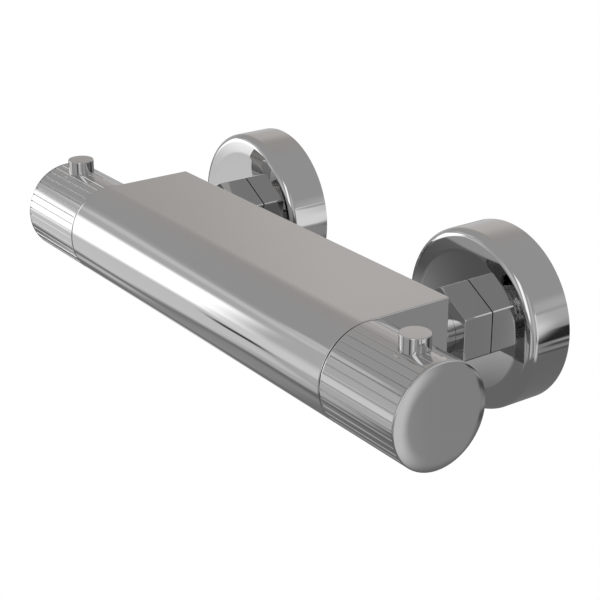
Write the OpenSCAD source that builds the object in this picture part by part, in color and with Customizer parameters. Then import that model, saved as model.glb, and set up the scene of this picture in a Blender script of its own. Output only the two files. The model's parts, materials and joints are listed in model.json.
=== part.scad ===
// Exposed bar-type thermostatic shower valve with two wall inlets.
// Frame: origin on the finished wall midway between the inlets, +X right, +Y into the wall, +Z up.

/* [Bar] */
// Distance between the hot and the cold inlet
inlet_spacing = 150; // [146:0.5:154]
// Distance from the wall to the axis of the bar
axis_to_wall = 79.5; // [79:0.5:90]
// Length of the body between the two knobs
body_len = 180; // [178:0.5:190]
// Diameter of the bar's round front and of both knobs
bar_d = 40; // [39.5:0.1:42]
// Distance from the bar's axis back to the flat rear face
shelf_depth = 38; // [37:0.5:40]

/* [Knobs] */
// Distance that each knob reaches out from the body's end
knob_reach = 41.2; // [40.5:0.1:46]
// Gap between the body and a knob
knob_gap = 0.3; // [0.2:0.05:0.6]
// Wall of the knob's sleeve
knob_wall = 2.5; // [2.4:0.1:2.8]
// Number of grooves round a knob
groove_count = 40; // [24:1:60]
// Width of a groove
groove_w = 0.5; // [0.3:0.05:0.8]
// Thickness of the end cap that shows
cap_t = 1; // [1:0.1:1.5]
// Radius of the end caps' outer edge
cap_edge_r = 0.4; // [0.2:0.1:0.4]
// Width of the rim over which the end caps' faces fall away
cap_fall_w = 6.5; // [4:0.5:7]
// Radius of that fall, seen from the side
cap_fall_r = 70; // [50:5:90]

/* [Push buttons] */
// Diameter of a button
button_d = 11.2; // [9:0.1:11.6]
// Height of a button above the knob
button_h = 5.5; // [4:0.1:8]
// Distance from a button's axis to the knob's outer end
button_from_end = 14.4; // [14.2:0.1:16]
// Travel of a button
button_travel = 2.5; // [1.5:0.1:2.5]

/* [Wall fittings] */
// Width across flats of the union nuts and of the hexagons behind the rosettes
hex_af = 29; // [28.6:0.1:32]
// Distance from the wall to the front of a union nut
nut_front = 33; // [32.5:0.1:34]
// Distance from the wall to the back of the hexagon inside a rosette
hex_back = 7.4; // [7:0.1:8]
// Diameter of a wall rosette
rosette_d = 70.8; // [66:0.2:80]
// Depth of a wall rosette
rosette_depth = 19.4; // [18:0.1:21]
// Thickness of the rosette's sheet
rosette_wall = 1.6; // [1.2:0.1:2]
// Radius of the parallel half inch pipe thread
pipe_thread_r = 10.48; // [10.4:0.01:10.6]
// Length of pipe thread behind the wall
wall_thread_len = 14; // [10:0.5:20]

/* [Water ways] */
// Radius of the chamber that holds a cartridge
chamber_r = 14.6; // [14.2:0.1:14.8]
// Depth of the thermostat's chamber
thermostat_chamber = 60; // [58:0.5:70]
// Depth of the flow cartridge's chamber
flow_chamber = 38; // [37.5:0.5:42]
// Radius of the bore that joins the two chambers
mix_bore_r = 6; // [4:0.5:7]
// Radius of the hot water channel
hot_channel_r = 4.5; // [3.5:0.1:5]
// Radius of the outlet channel
outlet_channel_r = 4; // [3:0.1:4.2]
// Bore of the nipples and the unions
pipe_bore_r = 7.5; // [7:0.1:7.8]

/* [Hidden] */
$fn = 72;

// Signs of the two sides
HOT = -1;
COLD = 1;
RIGHT = 1;
LEFT = -1;

// Clearances: a running fit, a loose fit, a joint line that shows, and the overrun of every cut
run_gap = 0.08;
loose_gap = 0.3;
line_gap = 0.12;
over = 1;

// Facets of a spring's wire and of each of its turns
wire_sides = 6;
turn_steps = 12;

// Body
bar_r = bar_d / 2;
rear_w = axis_to_wall - shelf_depth;

// Mouth of each chamber, with the thread of its retaining nut
mouth_step = 1.4;
mouth_len = 6;
mouth_r = chamber_r + mouth_step;

// Knob sleeve, measured outward from the body's end face
knob_edge = 0.4;
groove_sides = 16;
knob_bore_r = bar_r - knob_wall;
sleeve_end = knob_reach - cap_t - line_gap;
button_z = knob_reach - button_from_end;

// Push button, measured outward from the bar's axis
collar_w = 0.9;
collar_share = 0.055;
shoulder_share = 0.13;
retainer_share = 0.035;
button_edge = 0.35;
button_wall = 1.2;
stem_r = 1.9;
boss_wall = 1.1;
pocket_roof_t = 2.6;
button_wire = 0.5;
button_turns = 5;
collar_t = bar_r * collar_share;
shoulder_depth = bar_r * shoulder_share;
retainer_t = bar_r * retainer_share;
button_r = button_d / 2;
button_top = bar_r + button_h;
collar_r = button_r + collar_w;
boss_bore_r = collar_r + run_gap;
boss_r = boss_bore_r + boss_wall;
shoulder_at = bar_r - shoulder_depth;
collar_low = shoulder_at - run_gap - collar_t;
retainer_top = collar_low - button_travel - run_gap;
retainer_low = retainer_top - retainer_t;
pocket_r = button_r - button_wall;
pocket_roof = button_top - pocket_roof_t;

// Catch: the stem's tongue passes under the fixed hook only while the button is pressed
tongue_share = 0.05;
tongue_reach = 3.4;
hook_t = 0.8;
hook_reach = 1.4;
hook_root_t = 1.6;
hook_angle = 14;
hook_margin = 2;
flow_catch_at = 45;
ring_len = 3.6;
ring_wall = 1.5;
tongue_t = bar_r * tongue_share;
tongue_top = retainer_low - run_gap;
tongue_low = tongue_top - tongue_t;
hook_top = tongue_low - loose_gap;
hook_low = hook_top - hook_t;
ring_out = button_z - tongue_reach - run_gap * 2;
ring_in = ring_out - ring_len;

// Nose of the retaining nut, which carries the stop ring
nose_share = 0.08;
key_w = 1.6;
key_h = 0.5;
nose_wall = bar_r * nose_share;
nose_r = tongue_low - button_travel - loose_gap;
nose_bore_r = nose_r - nose_wall;
nose_end = button_z + stem_r - line_gap;
ring_outer_r = nose_r + ring_wall;

// End wall and hub of the knob, and the splined insert in it
web_t = 2.4;
hub_wall = 2.2;
rib_h = 0.8;
rib_w = 1.6;
rib_count = 6;
web_in = button_z + boss_r;
web_out = web_in + web_t;
web_mid = web_in + web_t / 2;
hub_in = button_z + stem_r + line_gap;
insert_r = nose_bore_r - loose_gap;
hub_r = insert_r + hub_wall;

// Stem of a cartridge and its neck, and the screw in its end
stem_shaft_share = 0.2;
neck_end = 10;
insert_start_gap = 1.6;
insert_floor_t = 1.2;
spline_count = 20;
spline_tooth_w = 0.6;
spline_depth = 0.4;
flange_w = 3.5;
flange_t = 1.7;
screw_r = 1.95;
screw_len = 9;
screw_head_r = 5;
screw_head_t = 2;
screw_head_edge = 0.6;
screw_socket_af = 2.5;
screw_socket_depth = 1.2;
cap_disc_t = 1.4;
cap_flat_r = bar_r - cap_fall_w;
cap_drop = cap_fall_r - sqrt(pow(cap_fall_r, 2) - pow(cap_fall_w - cap_edge_r, 2));
cap_spigot_wall = 2.2;
stem_shaft_r = bar_r * stem_shaft_share;
neck_bore_r = stem_shaft_r + run_gap;
neck_r = nose_bore_r - line_gap;
insert_in = neck_end + insert_start_gap;
stem_top = web_out - insert_floor_t - line_gap;
spline_root_r = stem_shaft_r - spline_depth;
flange_r = stem_shaft_r + flange_w;
screw_in = web_out - screw_len;
screw_seat = web_out + run_gap;

// Retaining nut
nut_collar_t = 0.9;
nut_collar_w = 0.6;
guide_t = 2.4;
guide_len = 3.3;
nut_hex_af = 24;
nut_hex_len = 4.5;
nut_collar_r = mouth_r + nut_collar_w;
guide_seat_r = knob_bore_r - run_gap - guide_t;
guide_start = nut_collar_t + line_gap;
guide_end = guide_start + guide_len;
nut_hex_end = guide_end + nut_hex_len;

// Cartridge heads and sealing rings
head_t = 3.7;
ring_wire_r = 0.86;
ring_groove_w = 2.2;
ring_groove_depth = 1.75;
land_t = 4.6;
recess_depth = 2.6;
cartridge_wall = 2.2;
thrust_gap = 0.1;
head_r = chamber_r - run_gap;
head_in = -mouth_len - head_t;
head_mid = head_in + head_t / 2;
ring_centre_r = head_r + run_gap / 2 - ring_wire_r;
recess_r = head_r - recess_depth;
cartridge_bore_r = recess_r - cartridge_wall;
flange_in = head_in - thrust_gap - flange_t;
flange_mid = flange_in + flange_t / 2;

// Left-hand drive thread of the thermostat: a full turn moves the carriage by one pitch
screw_pitch = 2;
turn_cold = 180;
turn_hot = 90;
shift_in = screw_pitch * turn_cold / 360;
shift_out = screw_pitch * turn_hot / 360;

// Carriage of the thermostat with its overload spring
drive_step = 1;
drive_len = 6;
carriage_wall = 1.9;
overload_wire = 1.1;
overload_turns = 3;
overload_len = 5;
plate_t = 1;
guide_key_w = 2.8;
guide_key_h = 1;
drive_r = stem_shaft_r + drive_step;
drive_in = flange_in - drive_len;
carriage_out = flange_in - shift_out - loose_gap;
carriage_nut_in = drive_in - shift_in;
carriage_in = carriage_nut_in - overload_len - plate_t;
carriage_r = cartridge_bore_r - loose_gap;
carriage_bore_r = carriage_r - carriage_wall;
slot_in = carriage_in - shift_in - loose_gap;
slot_r = carriage_r + guide_key_h + loose_gap;

// Ports and shuttle: an outward shift closes the cold ports, an inward shift the hot ones
port_count = 8;
port_r = 1.5;
port_margin = 0.2;
shuttle_len = 9.5;
shuttle_wall = 1.1;
shuttle_web_t = 1.4;
shuttle_hub_r = 4.6;
web_hole_r = 1.4;
hot_recess_len = 12;
barrel_tail_len = 5;
shuttle_r = cartridge_bore_r - run_gap;
shuttle_bore_r = shuttle_r - shuttle_wall;
cold_port_z = slot_in - port_r;
shuttle_out = cold_port_z + port_r - shift_out;
shuttle_in = shuttle_out - shuttle_len;
hot_port_z = shuttle_in + port_r - shift_in;
cold_recess_in = cold_port_z - port_r - port_margin;
cold_land_in = cold_recess_in - land_t;
hot_recess_in = cold_land_in - hot_recess_len;
tail_land_in = hot_recess_in - land_t;
barrel_in = tail_land_in - barrel_tail_len;
shuttle_web_out = (shuttle_in + shuttle_out) / 2;
shuttle_web_in = shuttle_web_out - shuttle_web_t;

// End plate of the barrel and the return spring on it
end_plate_t = 2;
end_plate_inset = 1.5;
plate_hole_r = 1.6;
return_wire = 1.2;
return_turns = 6;
end_plate_in = barrel_in + end_plate_inset;
end_plate_out = end_plate_in + end_plate_t;
return_r = shuttle_bore_r - loose_gap - return_wire / 2;

// Wax element
piston_r = 1.6;
piston_len = 3;
wax_neck_r = 3.2;
wax_flange_r = 5;
wax_flange_t = 1.5;
wax_cup_r = 4.4;
wax_cup_len = 13;
wax_tip_r = 1.6;
wax_flange_in = shuttle_web_in - wax_flange_t;
wax_cup_in = wax_flange_in - wax_cup_len;

// Flow cartridge, measured outward from the body's left end face
seal_t = 3.5;
seal_w = 3.4;
seal_bare = 0.8;
disc_t = 3;
disc_gap = 0.05;
disc_hole_in_r = 2.4;
disc_hole_share = 0.82;
disc_hole_angle = 74;
disc_key_w = 3;
disc_key_h = 1;
driver_t = 3;
driver_step = 0.4;
fork_w = 3;
fork_h = 1.4;
fork_depth = 2.2;
flow_land_t = 4;
window_r = 2.6;
window_count = 6;
disc_r = cartridge_bore_r - loose_gap;
seal_in = -flow_chamber;
fixed_in = seal_in + seal_t;
fixed_out = fixed_in + disc_t;
rotor_in = fixed_out + disc_gap;
rotor_out = rotor_in + disc_t;
driver_in = rotor_out + run_gap;
driver_out = driver_in + driver_t;
driver_r = disc_r - driver_step;
fork_at = disc_r - fork_depth;
flow_land_in = seal_in + seal_bare;
flow_land_out = flow_land_in + flow_land_t;
window_z = (driver_out + head_in) / 2;

// Bores in the body
inlet_hole_r = 5;
nipple_thread_r = 11;
nipple_thread_len = 11;
nipple_socket_af = 12;
channel_wall = 0.4;
hot_channel_up = 3;
outlet_bore_r = 6.5;
outlet_down_share = 0.46;
outlet_thread_r = 9;
outlet_thread_len = 7;
nipple_bore_end = rear_w + nipple_thread_len;
pocket_end = nipple_bore_end + 2 * hot_channel_r;
hot_channel_w = nipple_bore_end + hot_channel_r + channel_wall;
hot_port_x = body_len / 2 + (hot_recess_in + cold_land_in) / 2;
outlet_w = axis_to_wall - chamber_r - outlet_channel_r - channel_wall;
outlet_down = bar_r * outlet_down_share;
outlet_start_x = body_len / 2 + flow_land_out + outlet_channel_r + loose_gap;

// Inlet nipple, union nut and wall union, measured from the wall towards the room
union_thread_r = 13.2;
nut_lip_t = 2.5;
nipple_neck_r = 9.9;
nipple_flange_step = 0.8;
nipple_flange_t = 2.5;
washer_t = 2;
nut_seat_gap = 0.2;
thread_chamfer = 0.8;
shank_r = 11.9;
shank_end = 3;
hex_edge_depth = 0.12;
grip_ring_r = 1.3;
nut_back = rosette_depth + nut_seat_gap;
grip_ring_at = rosette_depth - rosette_wall - grip_ring_r;
hex_front = grip_ring_at - grip_ring_r - line_gap;
nut_lip_back = nut_front - nut_lip_t;
nipple_flange_r = union_thread_r - nipple_flange_step;
flange_back = nut_lip_back - run_gap - nipple_flange_t;
washer_back = flange_back - washer_t;

// Check valve in the nipple
check_inset = 1;
check_len = 15;
check_wall = 1.3;
seat_t = 1.6;
seat_w = 1.7;
poppet_gap = 0.9;
poppet_t = 1.4;
poppet_stem_r = 1.2;
spider_t = 1.6;
spider_hole_r = 1.1;
spider_holes = 5;
check_wire = 0.45;
check_turns = 5;
check_start = flange_back + check_inset;
check_end = check_start + check_len;
check_r = pipe_bore_r - run_gap / 2;
check_bore_r = check_r - check_wall;
seat_r = check_bore_r - seat_w;
poppet_r = check_bore_r - poppet_gap;
poppet_in = check_start + seat_t + run_gap;
poppet_out = poppet_in + poppet_t;
spider_in = check_end - spider_t;

// Wall rosette: its flat middle eases over into a slope, and the slope into the nose
rosette_nose_r = 3.3;
rosette_slope = 10;
rosette_flat_share = 0.72;
rosette_ease_share = 0.62;
rosette_r = rosette_d / 2;
rosette_flat_r = rosette_r * rosette_flat_share;
rosette_ease_r = rosette_r * rosette_ease_share;
rosette_hole_r = union_thread_r + loose_gap;
ease_fall = rosette_ease_r * (1 - cos(rosette_slope));
ease_reach = rosette_ease_r * sin(rosette_slope);
slope_start = rosette_r - rosette_nose_r * (1 - sin(rosette_slope));
slope_fall = (slope_start - rosette_flat_r - ease_reach) * tan(rosette_slope);
rosette_nose_at = rosette_r - rosette_nose_r;
rosette_nose_w = rosette_depth - ease_fall - slope_fall - rosette_nose_r * cos(rosette_slope);

// Outlet nipple
outlet_collar_r = 12;
outlet_collar_t = 3;
outlet_gasket_t = 1;
outlet_nipple_len = 9;

// Unit frames

// Local +Z leaves the body's end along the bar, local +X is up and local +Y is the front
module bar_end(side) {
    mirror([side == RIGHT ? 0 : 1, 0, 0])
        translate([body_len / 2, -axis_to_wall, 0])
            rotate([0, 90, 0])
                rotate([0, 0, 180])
                    children();
}

// Local +Z comes out of the wall along an inlet, zero at the wall
module inlet(side) {
    translate([side * inlet_spacing / 2, 0, 0])
        rotate([90, 0, 0])
            children();
}

// Local +Z points up through the button from the bar's axis, local +X points to the body
module button_axis(side) {
    bar_end(side)
        translate([0, 0, button_z])
            rotate([0, 90, 0])
                children();
}

// Basic forms

// Solid cylinder from one height to another
module bar(r, from, to) {
    translate([0, 0, from])
        cylinder(r = r, h = to - from);
}

// Tube from one height to another
module tube(outer, inner, from, to) {
    difference() {
        bar(outer, from, to);
        bar(inner, from - over, to + over);
    }
}

// Cylinder whose upper edge is rounded
module rounded_bar(r, from, to, edge) {
    rotate_extrude() {
        translate([0, from])
            square([r - edge, to - from]);
        translate([0, from])
            square([r, to - edge - from]);
        intersection() {
            translate([r - edge, to - edge])
                circle(edge);
            translate([0, to - edge])
                square([r, edge]);
        }
    }
}

// Cylinder with a chamfer at its far end
module threaded_end(r, from, to, chamfer) {
    bar(r, from, to - chamfer);
    translate([0, 0, to - chamfer])
        cylinder(r1 = r, r2 = r - chamfer, h = chamfer);
}

// Hexagonal prism with a corner at the top and one below
module hexagon(af, from, to) {
    translate([0, 0, from])
        rotate([0, 0, 30])
            cylinder(r = af / 2 / cos(30), h = to - from, $fn = 6);
}

// Hexagon whose corners are turned down a little
module turned_hexagon(af, from, to) {
    intersection() {
        hexagon(af, from, to);
        bar(af / 2 / cos(30) - hex_edge_depth, from - over, to + over);
    }
}

// Splined outline: a round core with straight teeth
module spline_outline(root_r, tip_r, tooth_w) {
    circle(root_r);
    for (i = [0 : spline_count - 1])
        rotate(i * 360 / spline_count)
            translate([0, -tooth_w / 2])
                square([tip_r, tooth_w]);
}

// Round outline with a few straight ribs
module ribbed_outline(r, height, width, count) {
    circle(r);
    for (i = [0 : count - 1])
        rotate((i + 1 / 2) * 360 / count)
            translate([0, -width / 2])
                square([r + height, width]);
}

// Radial holes through a tube's wall
module radial_holes(r, at, reach, count) {
    for (i = [0 : count - 1])
        rotate([0, 0, (i + 1 / 2) * 360 / count])
            translate([0, 0, at])
                rotate([0, 90, 0])
                    cylinder(r = r, h = reach);
}

// Holes along the axis, spread round a circle
module axial_holes(r, circle_r, from, to, count) {
    for (i = [0 : count - 1])
        rotate([0, 0, i * 360 / count])
            translate([circle_r, 0, 0])
                bar(r, from, to);
}

// Sealing ring of round section
module ring(centre_r, wire_r, at) {
    translate([0, 0, at])
        rotate_extrude()
            translate([centre_r, 0])
                circle(wire_r);
}

// Groove for a sealing ring in a cartridge
module ring_groove(at) {
    tube(head_r + over, head_r - ring_groove_depth, at - ring_groove_w / 2, at + ring_groove_w / 2);
}

// Compression spring: one wire wound from one end to the other
function wire_point(i, steps, r, wire, from, to, turns, k) =
    let (
        share = i / steps,
        turn = share * turns * 360,
        around = k * 360 / wire_sides,
        away = r + wire / 2 * cos(around)
    )
    [
        away * cos(turn),
        away * sin(turn),
        from + wire / 2 + share * (to - from - wire) + wire / 2 * sin(around)
    ];

module coil_spring(r, wire, from, to, turns) {
    steps = turns * turn_steps;
    points = [
        for (i = [0 : steps])
            for (k = [0 : wire_sides - 1])
                wire_point(i, steps, r, wire, from, to, turns, k)
    ];
    start = [for (k = [0 : wire_sides - 1]) k];
    finish = [for (k = [wire_sides - 1 : -1 : 0]) steps * wire_sides + k];
    sides = [
        for (i = [0 : steps - 1])
            for (k = [0 : wire_sides - 1])
                let (
                    n = (k + 1) % wire_sides,
                    a = i * wire_sides + k,
                    b = i * wire_sides + n,
                    c = a + wire_sides,
                    d = b + wire_sides
                )
                each [[a, c, b], [b, c, d]]
    ];
    polyhedron(points = points, faces = concat([start], sides, [finish]));
}

// Body

// Section of the bar: round in front, flat on top, below and behind
module bar_outline() {
    circle(bar_r);
    translate([0, -bar_r])
        square([shelf_depth, bar_d]);
}

// Bore along the bar at a distance from the wall and a height
module channel(r, from, to, w, up) {
    translate([from, -w, up])
        rotate([0, 90, 0])
            cylinder(r = r, h = to - from);
}

// Bore square to the wall, at a place along the bar
module rear_bore(r, x, from, to, up) {
    translate([x, -from, up])
        rotate([90, 0, 0])
            cylinder(r = r, h = to - from);
}

// Bore that comes up from below at the outlet
module outlet_bore(r, to) {
    translate([0, -outlet_w, -bar_r - over])
        cylinder(r = r, h = to + bar_r + over);
}

// Hollow that one end of the body has for its cartridge
module cartridge_chamber(side, depth) {
    bar_end(side) {
        bar(mouth_r, -mouth_len, over);
        bar(chamber_r, -depth, 0);
    }
}

module valve_body() {
    inlet_x = inlet_spacing / 2;
    chamber_w = axis_to_wall - chamber_r + over;
    mix_start = flow_chamber - body_len / 2 - over;
    mix_end = body_len / 2 - thermostat_chamber + over;
    color("silver")
        difference() {
            translate([-body_len / 2, -axis_to_wall, 0])
                rotate([90, 0, 90])
                    linear_extrude(body_len)
                        bar_outline();
            cartridge_chamber(RIGHT, thermostat_chamber);
            cartridge_chamber(LEFT, flow_chamber);
            channel(mix_bore_r, mix_start, mix_end, axis_to_wall, 0);
            for (side = [HOT, COLD]) {
                rear_bore(nipple_thread_r + run_gap, side * inlet_x, rear_w - over, nipple_bore_end, 0);
                rear_bore(nipple_socket_af / 2, side * inlet_x, rear_w, pocket_end, 0);
            }
            rear_bore(inlet_hole_r, inlet_x, nipple_bore_end, chamber_w, 0);
            channel(hot_channel_r, -inlet_x, hot_port_x, hot_channel_w, hot_channel_up);
            rear_bore(hot_channel_r, hot_port_x, hot_channel_w, chamber_w, hot_channel_up);
            channel(outlet_channel_r, -outlet_start_x, 0, outlet_w, -outlet_down);
            rear_bore(outlet_channel_r, -outlet_start_x, outlet_w, axis_to_wall - recess_r, -outlet_down);
            outlet_bore(outlet_bore_r, -outlet_down);
            outlet_bore(outlet_thread_r + run_gap, outlet_thread_len - bar_r);
        }
}

// Knob assembly, the same at both ends

// Fine straight grooves round the sleeve
module knob_grooves() {
    for (i = [0 : groove_count - 1])
        rotate([0, 0, i * 360 / groove_count])
            translate([bar_r, 0, knob_gap + 2 * knob_edge])
                cylinder(r = groove_w / 2, h = knob_reach, $fn = groove_sides);
}

// Grooved sleeve, open towards the body, with the wall that carries the hub
module knob_sleeve() {
    difference() {
        union() {
            translate([0, 0, knob_gap])
                cylinder(r1 = bar_r - knob_edge, r2 = bar_r, h = knob_edge);
            bar(bar_r, knob_gap + knob_edge, sleeve_end);
        }
        bar(knob_bore_r, knob_gap - over, web_in);
        bar(knob_bore_r, web_out, sleeve_end + over);
        knob_grooves();
    }
}

// Inner boss in which the button slides
module button_boss(side) {
    intersection() {
        button_axis(side)
            bar(boss_r, retainer_low, bar_r);
        bar_end(side)
            bar(bar_r - knob_wall / 2, 0, web_mid);
    }
}

module knob(side) {
    color("gainsboro")
        difference() {
            union() {
                bar_end(side) {
                    knob_sleeve();
                    bar(hub_r + rib_h, hub_in, web_mid);
                }
                button_boss(side);
            }
            bar_end(side)
                translate([0, 0, hub_in - over])
                    linear_extrude(web_out - hub_in + 2 * over)
                        ribbed_outline(insert_r + run_gap / 2, rib_h + run_gap / 2, rib_w + run_gap, rib_count);
            button_axis(side) {
                bar(boss_bore_r, retainer_low - over, shoulder_at);
                bar(button_r + run_gap, shoulder_at - over, button_top);
            }
        }
}

module knob_cap(side) {
    spigot_r = knob_bore_r - run_gap;
    color("gainsboro")
        bar_end(side)
            difference() {
                union() {
                    rounded_bar(bar_r, knob_reach - cap_t, knob_reach - cap_drop, cap_edge_r);
                    cap_face();
                    bar(spigot_r, web_out, knob_reach - cap_t / 2);
                }
                bar(spigot_r - cap_spigot_wall, web_out - over, knob_reach - cap_disc_t);
            }
}

// Flat in the middle, then an arc that falls away to the small edge
module cap_face() {
    rotate_extrude()
        intersection() {
            translate([0, knob_reach - cap_t])
                square([bar_r - cap_edge_r, cap_t]);
            union() {
                square([cap_flat_r, knob_reach]);
                translate([cap_flat_r, knob_reach - cap_fall_r])
                    circle(r = cap_fall_r);
            }
        }
}

module knob_screw(side) {
    head_top = screw_seat + screw_head_t;
    color("lightsteelblue")
        bar_end(side)
            difference() {
                union() {
                    bar(screw_r, screw_in, head_top - screw_head_edge);
                    rounded_bar(screw_head_r, screw_seat, head_top, screw_head_edge);
                }
                hexagon(screw_socket_af, head_top - screw_socket_depth, head_top + over);
            }
}

module spline_insert(side) {
    color("ivory")
        bar_end(side)
            difference() {
                union() {
                    bar(insert_r, insert_in, web_out);
                    translate([0, 0, hub_in])
                        linear_extrude(web_out - hub_in)
                            ribbed_outline(insert_r, rib_h, rib_w, rib_count);
                }
                translate([0, 0, insert_in - over])
                    linear_extrude(stem_top + line_gap - insert_in + over)
                        spline_outline(spline_root_r + run_gap, stem_shaft_r + run_gap,
                            spline_tooth_w + run_gap);
                bar(screw_r + line_gap, insert_in, web_out + over);
            }
}

// Button with its collar, its hollow for the spring and the stem with the catch's tongue
module button(side) {
    color("gainsboro")
        button_axis(side) {
            difference() {
                union() {
                    rounded_bar(button_r, collar_low, button_top, button_edge);
                    bar(collar_r, collar_low, collar_low + collar_t);
                }
                bar(pocket_r, collar_low - over, pocket_roof);
            }
            bar(stem_r, tongue_low, pocket_roof + pocket_roof_t / 2);
            translate([0, -stem_r, tongue_low])
                cube([tongue_reach, 2 * stem_r, tongue_t]);
        }
}

module button_spring(side) {
    color("lightsteelblue")
        button_axis(side)
            coil_spring((stem_r + pocket_r) / 2, button_wire, retainer_top, pocket_roof, button_turns);
}

module button_retainer(side) {
    color("ivory")
        button_axis(side)
            tube(boss_bore_r - run_gap / 2, stem_r + run_gap, retainer_low, retainer_top);
}

// Sector of a circle, from an angle on
module sector(r, start, angle) {
    intersection() {
        circle(r);
        polygon([
            [0, 0],
            [2 * r * cos(start), 2 * r * sin(start)],
            [2 * r * cos(start + angle), 2 * r * sin(start + angle)]
        ]);
    }
}

// Fixed ring with the hook that the button's tongue meets
module stop_ring(side, catch_at) {
    hook_start = catch_at + asin(stem_r / hook_low) + hook_margin;
    color("ivory")
        bar_end(side)
            difference() {
                union() {
                    bar(ring_outer_r, ring_in, ring_out);
                    translate([0, 0, ring_out - hook_root_t])
                        linear_extrude(hook_root_t)
                            sector(hook_top, hook_start, hook_angle);
                    translate([0, 0, ring_out - hook_root_t / 2])
                        linear_extrude(hook_root_t / 2 + hook_reach)
                            difference() {
                                sector(hook_top, hook_start, hook_angle);
                                circle(hook_low);
                            }
                }
                bar(nose_r + run_gap, ring_in - over, ring_out + hook_reach + over);
                nose_key(run_gap, ring_in - over, ring_out + over);
            }
}

// Key below the nose that keeps the stop ring from turning
module nose_key(gap, from, to) {
    translate([-nose_r - key_h - gap, -key_w / 2 - gap, from])
        cube([nose_wall, key_w + 2 * gap, to - from]);
}

// Low-friction ring that carries the open end of the knob
module guide_ring(side) {
    color("ivory")
        bar_end(side)
            tube(guide_seat_r + guide_t, guide_seat_r + run_gap, guide_start, guide_end);
}

// Nut that holds a cartridge in the body, with the long nose for the stop ring
module retaining_nut(side) {
    color("khaki")
        bar_end(side)
            difference() {
                union() {
                    bar(mouth_r - run_gap, -mouth_len, 0);
                    bar(nut_collar_r, 0, nut_collar_t);
                    bar(guide_seat_r, 0, guide_end);
                    hexagon(nut_hex_af, guide_end, nut_hex_end);
                    bar(ring_outer_r, guide_end, ring_in);
                    bar(nose_r, guide_end, nose_end);
                    nose_key(0, ring_in, ring_out);
                }
                bar(nose_bore_r, -mouth_len - over, nose_end + over);
            }
}

// Outer end of a cartridge's stem: plain shaft, splines and the screw's hole
module stem_shaft() {
    difference() {
        union() {
            bar(stem_shaft_r, flange_mid, neck_end + run_gap);
            bar(flange_r, flange_in, flange_in + flange_t);
            translate([0, 0, neck_end])
                linear_extrude(stem_top - neck_end)
                    spline_outline(spline_root_r, stem_shaft_r, spline_tooth_w);
        }
        bar(screw_r + run_gap / 2, screw_in - over, stem_top + over);
    }
}

// Head and neck shared by the two cartridges
module cartridge_head() {
    bar(head_r, head_in, -mouth_len);
    bar(neck_r, -mouth_len, neck_end);
}

// Thermostat cartridge

module thermostat_housing() {
    slot_w = guide_key_w + 2 * run_gap;
    color("peru")
        bar_end(RIGHT)
            difference() {
                union() {
                    cartridge_head();
                    bar(recess_r, barrel_in, head_in);
                    bar(head_r, cold_land_in, cold_recess_in);
                    bar(head_r, tail_land_in, hot_recess_in);
                }
                bar(neck_bore_r, head_in - over, neck_end + over);
                bar(cartridge_bore_r, barrel_in - over, head_in);
                ring_groove(head_mid);
                ring_groove((cold_land_in + cold_recess_in) / 2);
                ring_groove((tail_land_in + hot_recess_in) / 2);
                radial_holes(port_r, cold_port_z, head_r + over, port_count);
                radial_holes(port_r, hot_port_z, head_r + over, port_count);
                translate([-slot_w / 2, -slot_r, slot_in])
                    cube([slot_w, 2 * slot_r, head_in - slot_in]);
            }
}

module thermostat_end_plate() {
    color("ivory")
        bar_end(RIGHT)
            difference() {
                bar(cartridge_bore_r - run_gap / 2, end_plate_in, end_plate_out);
                bar(plate_hole_r, end_plate_in - over, end_plate_out + over);
                axial_holes(plate_hole_r, cartridge_bore_r / 2, end_plate_in - over, end_plate_out + over,
                    port_count);
            }
}

module thermostat_spindle() {
    color("darkkhaki")
        bar_end(RIGHT) {
            stem_shaft();
            bar(drive_r, drive_in, flange_mid);
        }
}

// Nut that the spindle's thread moves along the housing
module thermostat_carriage() {
    key_side = guide_key_w - 2 * run_gap;
    key_r = carriage_r + guide_key_h;
    color("darkkhaki")
        bar_end(RIGHT)
            difference() {
                union() {
                    bar(carriage_r, carriage_in, carriage_out);
                    translate([-key_side / 2, -key_r, carriage_in])
                        cube([key_side, 2 * key_r, carriage_out - carriage_in]);
                }
                bar(drive_r + run_gap / 2, carriage_in - over, carriage_out + over);
                bar(carriage_bore_r, carriage_in - over, carriage_nut_in);
            }
}

module thermostat_overload_spring() {
    color("lightsteelblue")
        bar_end(RIGHT)
            coil_spring(carriage_bore_r - run_gap - overload_wire / 2, overload_wire,
                carriage_in + plate_t, carriage_nut_in, overload_turns);
}

module thermostat_push_plate() {
    color("darkkhaki")
        bar_end(RIGHT)
            bar(carriage_bore_r - run_gap, carriage_in, carriage_in + plate_t);
}

// Wax element: piston, guide, flange that carries the shuttle, and the cup in the mixed water
module thermostat_wax_element() {
    neck_out = carriage_in - piston_len;
    color("chocolate")
        bar_end(RIGHT) {
            bar(piston_r, neck_out, carriage_in);
            bar(wax_neck_r, shuttle_web_in, neck_out);
            bar(wax_flange_r, wax_flange_in, shuttle_web_in);
            bar(wax_cup_r, wax_cup_in, wax_flange_in);
            bar(wax_tip_r, wax_cup_in - wax_tip_r, wax_cup_in);
        }
}

// Sliding ring that shares out the hot and the cold water
module thermostat_shuttle() {
    color("whitesmoke")
        bar_end(RIGHT)
            difference() {
                union() {
                    tube(shuttle_r, shuttle_bore_r, shuttle_in, shuttle_out);
                    bar(shuttle_r - shuttle_wall / 2, shuttle_web_in, shuttle_web_out);
                    bar(shuttle_hub_r, shuttle_web_in, shuttle_web_out + shuttle_web_t);
                }
                bar(wax_neck_r + run_gap / 2, shuttle_in - over, shuttle_out + over);
                axial_holes(web_hole_r, (shuttle_hub_r + shuttle_bore_r) / 2, shuttle_web_in - over,
                    shuttle_web_out + over, port_count);
            }
}

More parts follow.
